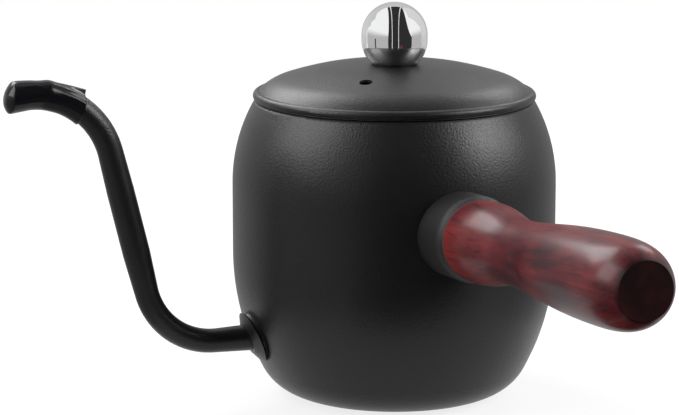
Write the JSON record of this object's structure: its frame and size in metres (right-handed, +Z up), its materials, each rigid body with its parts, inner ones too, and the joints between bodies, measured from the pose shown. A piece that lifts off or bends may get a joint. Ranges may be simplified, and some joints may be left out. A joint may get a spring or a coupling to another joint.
{
  "type": "gooseneck kettle",
  "caption": "Round black pour-over kettle with a thin gooseneck spout under a soft tip cap, a turned wooden side handle and a lift-off domed lid with a polished ball knob.",
  "frame": {"origin": "centre of the flat base, on the surface that the kettle stands on", "axes": "+Z up along the body's axis, -X towards the tip of the spout, -Y along the handle away from the body"},
  "size_m": [0.1862, 0.2325, 0.1305],
  "materials": {
    "black_coat": "matte powder coat with a fine sparkle, on steel sheet",
    "plain_steel": "plain steel",
    "rubber": "matte black rubber",
    "brass": "machined brass",
    "wood": "dark red hardwood under gloss lacquer",
    "polished_steel": "mirror polish",
    "sleeve_plastic": "soft glossy black vinyl"
  },
  "bodies": {
    "kettle": {"body_pan": "black_coat", "body_side": "black_coat", "body_shoulder": "black_coat", "spout_flange": "black_coat", "spout_tube": "black_coat", "handle_socket": "black_coat", "base_disc": "plain_steel", "handle_bolt": "plain_steel", "handle_bolt_washer": "plain_steel", "handle_spring_washer": "plain_steel", "handle_nut": "plain_steel", "handle_seal": "rubber", "grip_insert": "brass", "handle_grip": "wood"},
    "lid": {"lid_shell": "black_coat", "lid_skirt": "black_coat", "knob_seat_washer": "rubber", "lid_knob": "polished_steel", "knob_screw": "plain_steel", "knob_flat_washer": "plain_steel", "knob_spring_washer": "plain_steel"},
    "tip_sleeve": {"spout_tip_sleeve": "sleeve_plastic"}
  },
  "joints": [
    {"name": "lid_lift", "type": "slide", "parent": "kettle", "child": "lid", "axis": [0, 0, 1], "range_m": [0, 0.1]},
    {"name": "sleeve_pull", "type": "hinge", "parent": "kettle", "child": "tip_sleeve", "pos_m": [-0.12365, 0, 0.08015], "axis": [0, -1, 0], "range_deg": [0, 70]}
  ]
}
